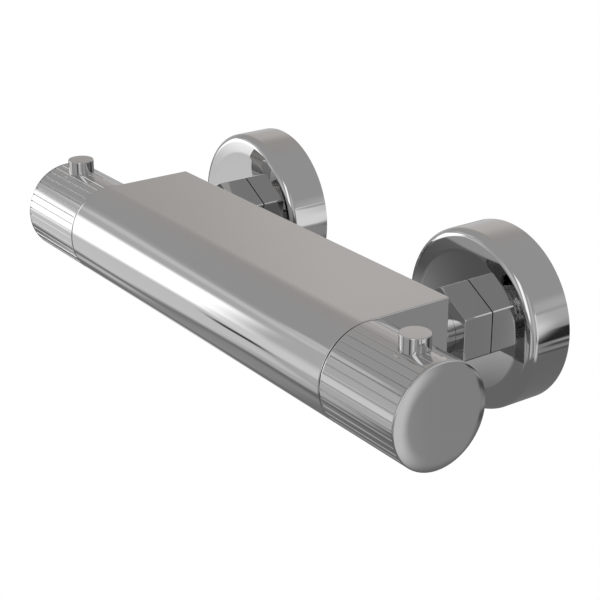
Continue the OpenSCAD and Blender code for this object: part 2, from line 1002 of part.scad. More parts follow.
module thermostat_return_spring() {
    color("lightsteelblue")
        bar_end(RIGHT)
            coil_spring(return_r, return_wire, end_plate_out, shuttle_web_in, return_turns);
}

module thermostat_o_rings() {
    color("dimgray")
        bar_end(RIGHT) {
            ring(ring_centre_r, ring_wire_r, head_mid);
            ring(ring_centre_r, ring_wire_r, (cold_land_in + cold_recess_in) / 2);
            ring(ring_centre_r, ring_wire_r, (tail_land_in + hot_recess_in) / 2);
        }
}

// Flow cartridge

// Two keys on opposite sides of the fixed disc, or the slots for them
module disc_keys(gap, from, to) {
    key_side = disc_key_w + 2 * gap;
    key_r = cartridge_bore_r + disc_key_h - run_gap + gap;
    translate([-key_side / 2, -key_r, from])
        cube([key_side, 2 * key_r, to - from]);
}

module flow_cartridge_body() {
    color("peru")
        bar_end(LEFT)
            difference() {
                union() {
                    cartridge_head();
                    bar(recess_r, flow_land_in, head_in);
                    bar(head_r, flow_land_in, flow_land_out);
                }
                bar(neck_bore_r, head_in - over, neck_end + over);
                bar(cartridge_bore_r, flow_land_in - over, head_in);
                disc_keys(run_gap, flow_land_in - over, fixed_out);
                ring_groove(head_mid);
                ring_groove((flow_land_in + flow_land_out) / 2);
                radial_holes(window_r, window_z, head_r + over, window_count);
            }
}

// Two openings in a ceramic disc, opposite each other
module disc_openings() {
    for (i = [0, 1])
        difference() {
            rotate(i * 180)
                sector(disc_r * disc_hole_share, -disc_hole_angle / 2, disc_hole_angle);
            circle(disc_hole_in_r);
        }
}

module flow_fixed_disc() {
    color("white")
        bar_end(LEFT)
            difference() {
                union() {
                    bar(disc_r, fixed_in, fixed_out);
                    disc_keys(0, fixed_in, fixed_out);
                }
                translate([0, 0, fixed_in - over])
                    linear_extrude(disc_t + 2 * over)
                        disc_openings();
            }
}

// Seats and fingers that let the spindle turn the disc
module disc_fingers(gap, depth, top) {
    for (i = [0, 1])
        rotate([0, 0, i * 180])
            translate([fork_at - gap, -fork_w / 2 - gap, top - depth])
                cube([driver_r - fork_at + gap, fork_w + 2 * gap, depth]);
}

// The rest position is closed, a quarter turn from the fixed disc's openings
module flow_rotating_disc() {
    color("white")
        bar_end(LEFT)
            difference() {
                bar(disc_r, rotor_in, rotor_out);
                translate([0, 0, rotor_in - over])
                    linear_extrude(disc_t + 2 * over)
                        rotate(90)
                            disc_openings();
                disc_fingers(run_gap, fork_h + run_gap + over, rotor_out + over);
            }
}

module flow_spindle() {
    color("darkkhaki")
        bar_end(LEFT) {
            stem_shaft();
            bar(drive_r, driver_out - driver_t / 2, flange_mid);
            difference() {
                bar(driver_r, driver_in, driver_out);
                translate([0, 0, driver_in - over])
                    linear_extrude(driver_t + 2 * over)
                        rotate(90)
                            disc_openings();
            }
            disc_fingers(0, fork_h + driver_t / 2, driver_in + driver_t / 2);
        }
}

module flow_seat_seal() {
    color("dimgray")
        bar_end(LEFT)
            tube(disc_r, disc_r - seal_w, seal_in, fixed_in);
}

module flow_o_rings() {
    color("dimgray")
        bar_end(LEFT) {
            ring(ring_centre_r, ring_wire_r, head_mid);
            ring(ring_centre_r, ring_wire_r, (flow_land_in + flow_land_out) / 2);
        }
}

// Inlets, the same on the hot and the cold side

module inlet_nipple(side) {
    color("silver")
        inlet(side)
            difference() {
                union() {
                    bar(nipple_thread_r, rear_w, nipple_bore_end);
                    bar(nipple_neck_r, flange_back, rear_w);
                    bar(nipple_flange_r, flange_back, flange_back + nipple_flange_t);
                }
                bar(pipe_bore_r, flange_back - over, check_end);
                hexagon(nipple_socket_af, check_end - over, nipple_bore_end + over);
            }
}

module union_nut(side) {
    color("silver")
        inlet(side)
            difference() {
                turned_hexagon(hex_af, nut_back, nut_front);
                bar(union_thread_r + run_gap, nut_back - over, nut_lip_back);
                bar(nipple_neck_r + run_gap, nut_back, nut_front + over);
            }
}

module union_washer(side) {
    color("dimgray")
        inlet(side)
            tube(nipple_flange_r, pipe_bore_r + run_gap, washer_back, flange_back);
}

// Small non-return valve pushed into the nipple
module check_valve_body(side) {
    color("whitesmoke")
        inlet(side)
            difference() {
                bar(check_r, check_start, check_end);
                bar(seat_r, check_start - over, spider_in);
                bar(check_bore_r, check_start + seat_t, spider_in);
                bar(poppet_stem_r + run_gap, check_start, check_end + over);
                axial_holes(spider_hole_r, (check_bore_r + poppet_stem_r) / 2, spider_in - over,
                    check_end + over, spider_holes);
            }
}

module check_poppet(side) {
    color("steelblue")
        inlet(side) {
            bar(poppet_r, poppet_in, poppet_out);
            bar(poppet_stem_r, poppet_in, spider_in + spider_t / 2);
        }
}

module check_spring(side) {
    color("lightsteelblue")
        inlet(side)
            coil_spring((poppet_r + poppet_stem_r) / 2, check_wire, poppet_out, spider_in, check_turns);
}

// Straight union: thread through the rosette for the nut, hexagon inside it, shank and wall thread
module wall_union(side) {
    color("silver")
        inlet(side)
            difference() {
                union() {
                    threaded_end(union_thread_r, hex_front - over, washer_back, thread_chamfer);
                    turned_hexagon(hex_af, hex_back, hex_front);
                    bar(shank_r, shank_end, hex_back);
                    mirror([0, 0, 1])
                        threaded_end(pipe_thread_r, -shank_end, wall_thread_len, thread_chamfer);
                }
                bar(pipe_bore_r, -wall_thread_len - over, washer_back + over);
            }
}

// Rosette section: the outer form less the same form a sheet's thickness further in, and the hole
module rosette_outline() {
    difference() {
        rosette_form(0);
        rosette_form(rosette_wall);
        translate([-over, -over])
            square([rosette_r - rosette_wall + over, rosette_nose_w + over]);
        translate([-over, -over])
            square([rosette_hole_r + over, rosette_depth + 2 * over]);
    }
}

// Filled section of the rosette, a sheet's thickness inside its outer skin
module rosette_form(sheet) {
    skin_ease_r = rosette_ease_r - sheet;
    skin_nose_r = rosette_nose_r - sheet;
    ease_at = rosette_depth - rosette_ease_r;
    lean = [sin(rosette_slope), cos(rosette_slope)];
    ease_end = [rosette_flat_r, ease_at] + skin_ease_r * lean;
    slope_end = [rosette_nose_at, rosette_nose_w] + skin_nose_r * lean;
    square([rosette_r - sheet, rosette_nose_w]);
    square([rosette_flat_r, rosette_depth - sheet]);
    translate([rosette_nose_at, rosette_nose_w])
        circle(skin_nose_r);
    intersection() {
        translate([rosette_flat_r, ease_at])
            circle(skin_ease_r);
        translate([rosette_hole_r, 0])
            square([ease_end[0] - rosette_hole_r, rosette_depth]);
    }
    polygon([[rosette_flat_r, rosette_nose_w], ease_end, slope_end, [rosette_nose_at, rosette_nose_w]]);
}

module wall_rosette(side) {
    color("silver")
        inlet(side)
            rotate_extrude()
                rosette_outline();
}

// Rubber ring behind the rosette that grips the union and keeps the rosette off its hexagon
module rosette_ring(side) {
    color("dimgray")
        inlet(side)
            ring(union_thread_r + run_gap / 2 + grip_ring_r, grip_ring_r, grip_ring_at);
}

// Outlet under the body for the shower hose

module outlet_nipple() {
    collar_end = outlet_gasket_t + outlet_collar_t;
    color("silver")
        translate([0, -outlet_w, -bar_r])
            difference() {
                union() {
                    bar(outlet_thread_r, -collar_end, outlet_thread_len - run_gap);
                    bar(outlet_collar_r, -collar_end, -outlet_gasket_t);
                    mirror([0, 0, 1])
                        threaded_end(pipe_thread_r, collar_end - outlet_gasket_t,
                            collar_end + outlet_nipple_len, thread_chamfer);
                }
                bar(outlet_bore_r, -collar_end - outlet_nipple_len - over, outlet_thread_len + over);
            }
}

module outlet_gasket() {
    color("dimgray")
        translate([0, -outlet_w, -bar_r])
            tube(outlet_collar_r - outlet_gasket_t, outlet_thread_r + run_gap, -outlet_gasket_t, 0);
}

valve_body();
knob(RIGHT);  // temperature_knob
knob_cap(RIGHT);  // temperature_knob_cap
knob_screw(RIGHT);  // temperature_knob_screw
spline_insert(RIGHT);  // temperature_spline_insert
button(RIGHT);  // temperature_button
button_spring(RIGHT);  // temperature_button_spring
button_retainer(RIGHT);  // temperature_button_retainer
stop_ring(RIGHT, 0);  // temperature_stop_ring
guide_ring(RIGHT);  // temperature_guide_ring
retaining_nut(RIGHT);  // thermostat_retaining_nut
thermostat_housing();
thermostat_end_plate();
thermostat_spindle();
thermostat_carriage();
thermostat_overload_spring();
thermostat_push_plate();
thermostat_wax_element();
thermostat_shuttle();
thermostat_return_spring();
thermostat_o_rings();
knob(LEFT);  // flow_knob
knob_cap(LEFT);  // flow_knob_cap
knob_screw(LEFT);  // flow_knob_screw
spline_insert(LEFT);  // flow_spline_insert
button(LEFT);  // flow_button
button_spring(LEFT);  // flow_button_spring
button_retainer(LEFT);  // flow_button_retainer
stop_ring(LEFT, flow_catch_at);  // flow_stop_ring
guide_ring(LEFT);  // flow_guide_ring
retaining_nut(LEFT);  // flow_retaining_nut
flow_cartridge_body();
flow_spindle();
flow_rotating_disc();
flow_fixed_disc();
flow_seat_seal();
flow_o_rings();
inlet_nipple(HOT);  // hot_inlet_nipple
inlet_nipple(COLD);  // cold_inlet_nipple
union_nut(HOT);  // hot_union_nut
union_nut(COLD);  // cold_union_nut
union_washer(HOT);  // hot_union_washer
union_washer(COLD);  // cold_union_washer
check_valve_body(HOT);  // hot_check_valve_body
check_valve_body(COLD);  // cold_check_valve_body
check_poppet(HOT);  // hot_check_poppet
check_poppet(COLD);  // cold_check_poppet
check_spring(HOT);  // hot_check_spring
check_spring(COLD);  // cold_check_spring
wall_union(HOT);  // hot_wall_union
wall_union(COLD);  // cold_wall_union
rosette_ring(HOT);  // hot_rosette_ring
rosette_ring(COLD);  // cold_rosette_ring
wall_rosette(HOT);  // hot_wall_rosette
wall_rosette(COLD);  // cold_wall_rosette
outlet_nipple();
outlet_gasket();
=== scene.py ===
"""Looks of the exposed bar-type thermostatic shower valve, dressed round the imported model.

Frame, in metres: origin on the finished wall midway between the inlets, +X right, +Y into the
wall, +Z up. Each piece is shaped on its own axis first and then stood in its place.
"""

import json
import math

import bmesh
import bpy
from mathutils import Matrix, Vector


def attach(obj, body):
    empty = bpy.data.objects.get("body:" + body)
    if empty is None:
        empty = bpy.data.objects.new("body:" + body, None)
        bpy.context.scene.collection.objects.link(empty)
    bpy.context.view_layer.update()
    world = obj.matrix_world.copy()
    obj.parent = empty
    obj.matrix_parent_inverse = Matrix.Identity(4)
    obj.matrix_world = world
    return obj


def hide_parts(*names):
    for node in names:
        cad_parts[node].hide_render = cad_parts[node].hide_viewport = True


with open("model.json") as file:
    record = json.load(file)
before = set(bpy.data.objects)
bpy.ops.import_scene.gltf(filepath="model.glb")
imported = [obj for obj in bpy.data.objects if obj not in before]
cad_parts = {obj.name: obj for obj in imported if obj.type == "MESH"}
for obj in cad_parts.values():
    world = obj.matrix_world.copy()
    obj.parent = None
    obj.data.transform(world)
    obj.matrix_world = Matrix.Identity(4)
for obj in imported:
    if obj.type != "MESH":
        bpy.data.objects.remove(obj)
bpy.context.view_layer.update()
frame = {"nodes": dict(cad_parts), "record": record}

MM = 0.001
EPS = 1e-5
AXIS_R = 0.01
MERGE = 2e-6

# Bar and knobs
BAR_R = 20.0
BODY_HALF = 90.0
AXIS_Y = -79.5
REAR_Y = -41.5
OUTLET_Y = -60.5
KNOB_GAP = 0.3
KNOB_EDGE = 0.4
SLEEVE_END = 40.08
SLEEVE_BORE_R = 17.5
WEB_IN = 34.48
WEB_OUT = 36.88
HUB_IN = 28.82
GROOVES = 40
GROOVE_DEPTH = 0.42
GROOVE_START = 1.1
BUTTON_Z = 26.8

# Wall fittings
INLET_X = 75.0
HEX_AF = 29.0
PIPE_THREAD_R = 10.48
THREAD_PITCH = 1.814
THREAD_DEPTH = 1.16


# Modelling helpers

MIRROR = Matrix.Scale(-1, 4, Vector((1, 0, 0)))


def clear_selection():
    bpy.ops.object.select_all(action="DESELECT")


def pick(piece):
    clear_selection()
    piece.select_set(True)
    bpy.context.view_layer.objects.active = piece


def new_piece(name):
    """The object that an add operator has just made, under its own name."""
    piece = bpy.context.object
    piece.name = name
    piece.data.name = name
    return piece


def close_up(piece):
    """Merges doubled points and turns every face outwards."""
    pick(piece)
    bpy.ops.object.mode_set(mode="EDIT")
    bpy.ops.mesh.select_all(action="SELECT")
    bpy.ops.mesh.remove_doubles(threshold=MERGE)
    bpy.ops.mesh.normals_make_consistent(inside=False)
    bpy.ops.object.mode_set(mode="OBJECT")


def stand(piece, place):
    """Puts a piece made on its own axis into its place, with the place in its mesh."""
    piece.data.transform(place @ piece.matrix_world)
    piece.matrix_world = Matrix.Identity(4)
    close_up(piece)


def turned(name, profile, sides):
    """A piece turned on its Z axis: a circle extruded and scaled from point to point of (r, z).

    An end at AXIS_R is closed there, so that the piece is a solid that Booleans can rely on.
    """
    clear_selection()
    r, z = profile[0]
    bpy.ops.mesh.primitive_circle_add(vertices=sides, radius=r * MM, fill_type="NOTHING",
                                      location=(0, 0, 0))
    piece = new_piece(name)
    bpy.ops.object.mode_set(mode="EDIT")
    bpy.ops.mesh.select_mode(type="EDGE")
    bpy.ops.mesh.select_all(action="SELECT")
    bpy.ops.transform.translate(value=(0, 0, z * MM))
    for r_next, z_next in profile[1:]:
        bpy.ops.mesh.extrude_region_move(
            TRANSFORM_OT_translate={"value": (0, 0, (z_next - z) * MM)})
        scale = r_next / r
        if scale != 1:
            bpy.ops.transform.resize(value=(scale, scale, 1), center_override=(0, 0, z_next * MM))
        r, z = r_next, z_next
    bpy.ops.mesh.select_all(action="SELECT")
    bpy.ops.mesh.remove_doubles(threshold=MERGE)
    bpy.ops.mesh.fill_holes(sides=0)
    bpy.ops.object.mode_set(mode="OBJECT")
    close_up(piece)
    return piece


def arc(centre_r, centre_z, radius, start, end, steps):
    """Points of (r, z) along an arc of a turned outline, angles in degrees from the radius."""
    points = []
    for i in range(steps + 1):
        a = math.radians(start + (end - start) * i / steps)
        points.append((centre_r + radius * math.cos(a), centre_z + radius * math.sin(a)))
    return points


def apply_modifier(piece, kind, **settings):
    pick(piece)
    modifier = piece.modifiers.new(kind.title(), kind)
    for key, value in settings.items():
        setattr(modifier, key, value)
    bpy.ops.object.modifier_apply(modifier=modifier.name)


def ease_edges(piece, width, angle=25, segments=3):
    """Rounds every edge that is sharper than the angle."""
    apply_modifier(piece, "BEVEL", width=width * MM, segments=segments, limit_method="ANGLE",
                   angle_limit=math.radians(angle), miter_outer="MITER_ARC")


def carve(piece, cutter):
    """Takes the cutter's room out of the piece."""
    apply_modifier(piece, "BOOLEAN", operation="DIFFERENCE", object=cutter, solver="EXACT")
    bpy.data.objects.remove(cutter)


def weld(piece, part):
    """Joins a part to the piece as one solid."""
    apply_modifier(piece, "BOOLEAN", operation="UNION", object=part, solver="EXACT")
    bpy.data.objects.remove(part)


def keep_within(piece, envelope):
    apply_modifier(piece, "BOOLEAN", operation="INTERSECT", object=envelope, solver="EXACT")
    bpy.data.objects.remove(envelope)


def finish_shading(piece, angle=32):
    """Smooth shading over the rounded parts, with flat faces kept flat."""
    close_up(piece)
    bpy.ops.object.shade_smooth_by_angle(angle=math.radians(angle))
    apply_modifier(piece, "WEIGHTED_NORMAL", mode="FACE_AREA", weight=80, keep_sharp=True)


def twin(piece, name):
    """The same piece on the other side of the middle, with a mesh of its own."""
    other = piece.copy()
    other.data = piece.data.copy()
    other.name = name
    other.data.name = name
    bpy.context.scene.collection.objects.link(other)
    other.data.transform(MIRROR)
    other.data.flip_normals()
    return other


def seat(piece, body, node):
    """Lets a piece ride on its body and stand for its CAD node."""
    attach(piece, body)
    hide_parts(node)


# Places of the pieces' own axes

def place_from_axes(x, y, z, origin):
    return Matrix((
        (x[0], y[0], z[0], origin[0] * MM),
        (x[1], y[1], z[1], origin[1] * MM),
        (x[2], y[2], z[2], origin[2] * MM),
        (0, 0, 0, 1),
    ))


# Out of the body's right end, up through the right button, out of the wall along the right
# inlet, and down at the outlet
BAR_END = place_from_axes((0, 0, 1), (0, -1, 0), (1, 0, 0), (BODY_HALF, AXIS_Y, 0))
BUTTON_AXIS = place_from_axes((-1, 0, 0), (0, -1, 0), (0, 0, 1),
                              (BODY_HALF + BUTTON_Z, AXIS_Y, 0))
INLET = place_from_axes((1, 0, 0), (0, 0, 1), (0, -1, 0), (INLET_X, 0, 0))
OUTLET = place_from_axes((1, 0, 0), (0, -1, 0), (0, 0, -1), (0, OUTLET_Y, -BAR_R))


# Camera, at the photograph's viewing angle

def camera():
    turn, rise, roll = math.radians(54.475), math.radians(22.614), math.radians(0.098)
    level = math.cos(rise)
    back = Vector((math.sin(turn) * level, -math.cos(turn) * level, math.sin(rise)))
    data = bpy.data.cameras.new("camera")
    data.lens = 91.71
    data.sensor_width = 36
    data.clip_start = 0.01
    data.clip_end = 100
    data.dof.use_dof = False
    eye = bpy.data.objects.new("camera", data)
    bpy.context.scene.collection.objects.link(eye)
    eye.rotation_mode = "QUATERNION"
    lean = Matrix.Rotation(roll, 4, "Z").to_quaternion()
    eye.rotation_quaternion = (-back).to_track_quat("-Z", "Y") @ lean
    eye.location = (0.47033, -0.37876, 0.22926)
    bpy.context.scene.camera = eye
    bpy.context.scene.view_settings.view_transform = "Standard"


camera()


# Node helpers

class Nodes:
    """Short way to lay out a node tree."""

    def __init__(self, tree):
        self.tree = tree
        self.count = 0

    def add(self, kind, **settings):
        node = self.tree.nodes.new("ShaderNode" + kind)
        node.location = (self.count * 180 % 1800, -200 * (self.count // 10))
        self.count += 1
        for key, value in settings.items():
            setattr(node, key, value)
        return node

    def link(self, source, target):
        self.tree.links.new(source, target)

    def value(self, socket, value):
        """Sets a socket, or links it when the value is another node's socket."""
        if isinstance(value, bpy.types.NodeSocket):
            self.link(value, socket)
        else:
            socket.default_value = value

    def math(self, operation, a, b=0.0, c=0.0):
        node = self.add("Math", operation=operation)
        for socket, value in zip(node.inputs, (a, b, c)):
            self.value(socket, value)
        return node.outputs[0]

    def ramp(self, factor, low, high, to_low=0.0, to_high=1.0):
        """Maps low..high to to_low..to_high, eased at both ends."""
        node = self.add("MapRange", interpolation_type="SMOOTHSTEP")
        for name, value in (("Value", factor), ("From Min", low), ("From Max", high),
                            ("To Min", to_low), ("To Max", to_high)):
            self.value(node.inputs[name], value)
        return node.outputs["Result"]

    def blend(self, factor, a, b):
        """Number between a and b."""
        node = self.add("Mix", data_type="FLOAT")
        self.value(node.inputs[0], factor)
        self.value(node.inputs[2], a)
        self.value(node.inputs[3], b)
        return node.outputs[0]

    def tint(self, factor, a, b):
        """Colour between a and b."""
        node = self.add("Mix", data_type="RGBA")
        self.value(node.inputs[0], factor)
        self.value(node.inputs[6], a if isinstance(a, bpy.types.NodeSocket) else (*a, 1))
        self.value(node.inputs[7], b if isinstance(b, bpy.types.NodeSocket) else (*b, 1))
        return node.outputs[2]

    def noise(self, vector, scale, detail=3.0, roughness=0.5, distortion=0.0):
        node = self.add("TexNoise")
        self.value(node.inputs["Vector"], vector)
        self.value(node.inputs["Scale"], scale)
        self.value(node.inputs["Detail"], detail)
        self.value(node.inputs["Roughness"], roughness)
        self.value(node.inputs["Distortion"], distortion)
        return node.outputs["Fac"]

    def stretched(self, vector, scale):
        node = self.add("Mapping")
        self.value(node.inputs["Vector"], vector)
        self.value(node.inputs["Scale"], scale)
        return node.outputs["Vector"]


def effect_group(name, inputs, outputs):
    """A shader node group with named inputs and outputs, and the nodes helper for it."""
    tree = bpy.data.node_groups.new(name, "ShaderNodeTree")
    for kind, socket, default in inputs:
        made = tree.interface.new_socket(name=socket, in_out="INPUT",
                                         socket_type="NodeSocket" + kind)
        if default is not None:
            made.default_value = default
    for kind, socket in outputs:
        tree.interface.new_socket(name=socket, in_out="OUTPUT", socket_type="NodeSocket" + kind)
    n = Nodes(tree)
    return tree, n, n.tree.nodes.new("NodeGroupInput"), n.tree.nodes.new("NodeGroupOutput")


def use_group(n, tree, **values):
    node = n.add("Group", node_tree=tree)
    for key, value in values.items():
        n.value(node.inputs[key.replace("_", " ")], value)
    return node


# Studio: a plain pale floor, soft light, and grey walls that only the metal sees

def studio_card_group():
    """Mask of a soft-edged card in the surround: how squarely a direction meets it."""
    tree, n, given, made = effect_group(
        "studio card",
        [("Vector", "Direction", None), ("Float", "Azimuth", 0.0), ("Float", "Elevation", 0.0),
         ("Float", "Half Width", 10.0), ("Float", "Half Height", 10.0), ("Float", "Softness", 2.0),
         ("Float", "Lean", 0.0)],
        [("Float", "Mask")])
    split = n.add("SeparateXYZ")
    n.link(given.outputs["Direction"], split.inputs[0])
    x, y, z = split.outputs
    azimuth = n.math("DEGREES", n.math("ARCTAN2", x, n.math("MULTIPLY", y, -1.0)))
    elevation = n.math("DEGREES", n.math("ARCSINE", z))
    rise = n.math("SUBTRACT", elevation, given.outputs["Elevation"])
    aside = n.math("SUBTRACT", azimuth, given.outputs["Azimuth"])
    aside = n.math("WRAP", aside, 180.0, -180.0)
    aside = n.math("MULTIPLY_ADD", rise, given.outputs["Lean"], aside)
    masks = []
    for distance, half in ((aside, "Half Width"), (rise, "Half Height")):
        far = n.math("ABSOLUTE", distance)
        outer = n.math("ADD", given.outputs[half], given.outputs["Softness"])
        inner = n.math("SUBTRACT", given.outputs[half], given.outputs["Softness"])
        masks.append(n.math("SUBTRACT", 1.0, n.ramp(far, inner, outer)))
    n.link(n.math("MULTIPLY", *masks), made.inputs["Mask"])
    return tree


# Cards of the surround: azimuth from the front towards the right, elevation, half width, half
# height, softness, lean, and the tone that the metal mirrors there
STUDIO_CARDS = (
    # upper walls behind on the left, a little lighter further round, and the pale floor there
    (-150, 12, 32, 22, 10, 0.0, 0.63),
    (-116, -29, 14, 7, 3, 0.0, 0.74),
    # light wall to the right of the back, its edge, and the dark foot of the next wall
    (117, -2, 9.8, 14, 1.0, 0.0, 1.02),
    (120, -23.5, 12, 10, 2, 0.0, 0.34),
    (104, -23.5, 14, 9, 4, 0.0, 0.80),
    (137, 9, 11, 9, 4, 0.0, 0.60),
    (135, -13, 7.5, 5, 0.9, 0.0, 0.03),
    # streaks of that wall's foot, and a faint one higher up
    (136, -19.6, 6, 0.9, 0.6, 0.2, 0.46),
    (136, -21.6, 6, 1.2, 0.8, 0.2, 0.09),
    (137, -25.2, 5.5, 1.1, 0.8, 0.2, 0.34),
    (137, -27.2, 5.5, 0.9, 0.6, 0.2, 0.12),
    (130, 9.5, 6, 1.3, 1.1, 0.4, 0.50),
    # front left: pale wall, the bright soft box in it, and thin lines above and below that
    (-58, -22, 13, 9, 3, 0.0, 0.80),
    (-52, -4, 18, 11, 4, 0.0, 0.85),
    (-50, 13, 18, 13, 4, 0.0, 0.62),
    (-60, 1.5, 14.5, 11, 3, 0.0, 1.95),
    (-54, 22.5, 11, 2.2, 1.5, -0.5, 0.78),
    (-46, 27, 4, 2.5, 1.5, 0.0, 0.74),
    (-40, -19.5, 5.5, 7, 2.5, 0.0, 0.62),
    (-40, -9.5, 7, 5, 2, 0.0, 0.92),
    (-50, -31, 5, 3.5, 2.5, 0.0, 0.60),
    (-47.3, -16, 2.0, 1.5, 1.0, 0.0, 0.04),
    # floor on the left, with the light of a window on it
    (-76, -40, 16, 6, 4, 0.0, 0.34),
    (-80, -32, 4.5, 2.8, 2.0, 0.0, 0.62),
    # doors and corners along the front, low down, as the buttons mirror them
    (25, -18, 52, 11, 3, 0.0, 0.43),
    (-27, -18, 4, 10, 2, 0.0, 0.30),
    (20, -18, 5, 11, 2.5, 0.0, 0.09),
    (41, -18, 6, 11, 2.5, 0.0, 0.80),
    (68, -18, 5, 11, 2.5, 0.0, 0.27),
    (80, -18, 4, 11, 2.5, 0.0, 0.85),
    (148, -18, 7, 9, 2.5, 0.0, 0.05),
    # front right and front, for the sides that the photograph doesn't show
    (38, 22, 13, 20, 3, 0.0, 1.5),
    (0, 8, 12, 14, 6, 0.0, 0.75),
    (80, 10, 10, 24, 6, 0.0, 0.68),
)
SURROUND_R = 1.05


def seen_directly(n):
    """1 for the camera and for what mirrors or lets light through, 0 for plain lighting."""
    path = n.add("LightPath").outputs
    return n.math("MAXIMUM", n.math("MAXIMUM", path["Is Camera Ray"], path["Is Glossy Ray"]),
                  path["Is Transmission Ray"])


def studio_surround():
    """Grey room round the object, seen by metal alone: the tones are those the chrome mirrors."""
    clear_selection()
    bpy.ops.mesh.primitive_uv_sphere_add(segments=96, ring_count=48, radius=SURROUND_R)
    room = new_piece("studio_surround")
    bpy.ops.object.shade_smooth()
    material = bpy.data.materials.new("studio surround")
    material.use_nodes = True
    material.cycles.emission_sampling = "NONE"
    n = Nodes(material.node_tree)
    material.node_tree.nodes.clear()
    place = n.add("TexCoord").outputs["Object"]
    direction = n.add("VectorMath", operation="NORMALIZE")
    n.link(place, direction.inputs[0])
    direction = direction.outputs[0]
    split = n.add("SeparateXYZ")
    n.link(direction, split.inputs[0])
    across, depth, height = split.outputs
    ceiling, low_wall, ground = 0.45, 0.54, 0.20
    tone = n.ramp(height, -0.30, 0.02, ground, low_wall)
    tone = n.blend(n.ramp(height, 0.1, 0.42), tone, ceiling)
    card = studio_card_group()
    for azimuth, elevation, half_w, half_h, soft, lean, strength in STUDIO_CARDS:
        mask = use_group(n, card, Direction=direction, Azimuth=float(azimuth),
                         Elevation=float(elevation), Half_Width=float(half_w),
                         Half_Height=float(half_h), Softness=float(soft),
                         Lean=float(lean)).outputs["Mask"]
        tone = n.blend(mask, tone, strength)
    shine = n.add("Emission")
    # the light from above, behind and left is a little warmer
    warmth = n.math("MULTIPLY", n.ramp(depth, -0.2, 0.35), n.ramp(height, 0.05, 0.30))
    warmth = n.math("MULTIPLY", warmth, n.ramp(across, -0.4, -0.1, 1.0, 0.0))
    n.link(n.tint(warmth, (1.0, 0.99, 0.995), (1.0, 0.96, 0.925)), shine.inputs["Color"])
    n.link(tone, shine.inputs["Strength"])
    n.link(shine.outputs[0], n.add("OutputMaterial").inputs["Surface"])
    room.data.materials.append(material)
    for ray in ("camera", "diffuse", "transmission", "volume_scatter", "shadow"):
        setattr(room, "visible_" + ray, False)


def studio_floor():
    """Plain pale floor well below the object, white to the camera, to metal and to glass."""
    clear_selection()
    bpy.ops.mesh.primitive_plane_add(size=14, location=(0, 0, -1.2))
    floor = new_piece("studio_floor")
    material = bpy.data.materials.new("studio floor")
    material.use_nodes = True
    material.cycles.emission_sampling = "NONE"
    n = Nodes(material.node_tree)
    material.node_tree.nodes.clear()
    seen = seen_directly(n)
    matt = n.add("BsdfDiffuse")
    matt.inputs["Color"].default_value = (0.9, 0.9, 0.9, 1)
    white = n.add("Emission")
    white.inputs["Strength"].default_value = 1.0
    mix = n.add("MixShader")
    n.link(seen, mix.inputs[0])
    n.link(matt.outputs[0], mix.inputs[1])
    n.link(white.outputs[0], mix.inputs[2])
    n.link(mix.outputs[0], n.add("OutputMaterial").inputs["Surface"])
    floor.data.materials.append(material)


def studio_world():
    """White background, and a plain soft light from all round for what isn't metal."""
    world = bpy.data.worlds.new("studio")
    bpy.context.scene.world = world
    world.use_nodes = True
    n = Nodes(world.node_tree)
    world.node_tree.nodes.clear()
    seen = seen_directly(n)
    background = n.add("Background")
    background.inputs["Color"].default_value = (1, 1, 1, 1)
    n.link(n.blend(seen, 0.56, 1.0), background.inputs["Strength"])
    n.link(background.outputs[0], n.add("OutputWorld").inputs["Surface"])


def studio_lamp():
    data = bpy.data.lights.new("soft_lamp", "AREA")
    data.energy = 9
    data.size = 1.2
    lamp = bpy.data.objects.new("soft_lamp", data)
    bpy.context.scene.collection.objects.link(lamp)
    lamp.location = (-0.5, -0.9, 1.6)
    lamp.rotation_mode = "QUATERNION"
    lamp.rotation_quaternion = (-lamp.location).to_track_quat("-Z", "Y")
    lamp.visible_glossy = False


studio_surround()
studio_floor()
studio_world()
studio_lamp()


# Finishes

def polish_group():
    """Handling and polishing marks of plated metal: masks for roughness and a faint relief."""
    tree, n, given, made = effect_group(
        "polish marks",
        [("Vector", "Vector", None), ("Float", "Size", 1.0), ("Float", "Haze", 0.5)],
        [("Float", "Smear"), ("Float", "Specks"), ("Float", "Relief")])
    at = given.outputs["Vector"]
    size = given.outputs["Size"]
    cloud = n.noise(at, n.math("MULTIPLY", size, 28.0), 4.0, 0.6, 0.6)
    drawn = n.noise(n.stretched(at, (60.0, 900.0, 900.0)), size, 3.0, 0.6)
    wiped = n.noise(n.stretched(at, (520.0, 60.0, 420.0)), size, 2.0, 0.5)
    strokes = n.ramp(n.math("ADD", drawn, wiped), 0.7, 1.3)
    smear = n.math("MULTIPLY", n.ramp(cloud, 0.42, 0.7), strokes)
    n.link(n.math("MULTIPLY", smear, given.outputs["Haze"]), made.inputs["Smear"])
    specks = n.ramp(n.noise(at, n.math("MULTIPLY", size, 900.0), 1.0), 0.7, 0.78)
    n.link(specks, made.inputs["Specks"])
    swell = n.noise(at, n.math("MULTIPLY", size, 45.0), 2.0, 0.4)
    n.link(n.math("ADD", swell, n.math("MULTIPLY", drawn, 0.04)), made.inputs["Relief"])
    return tree


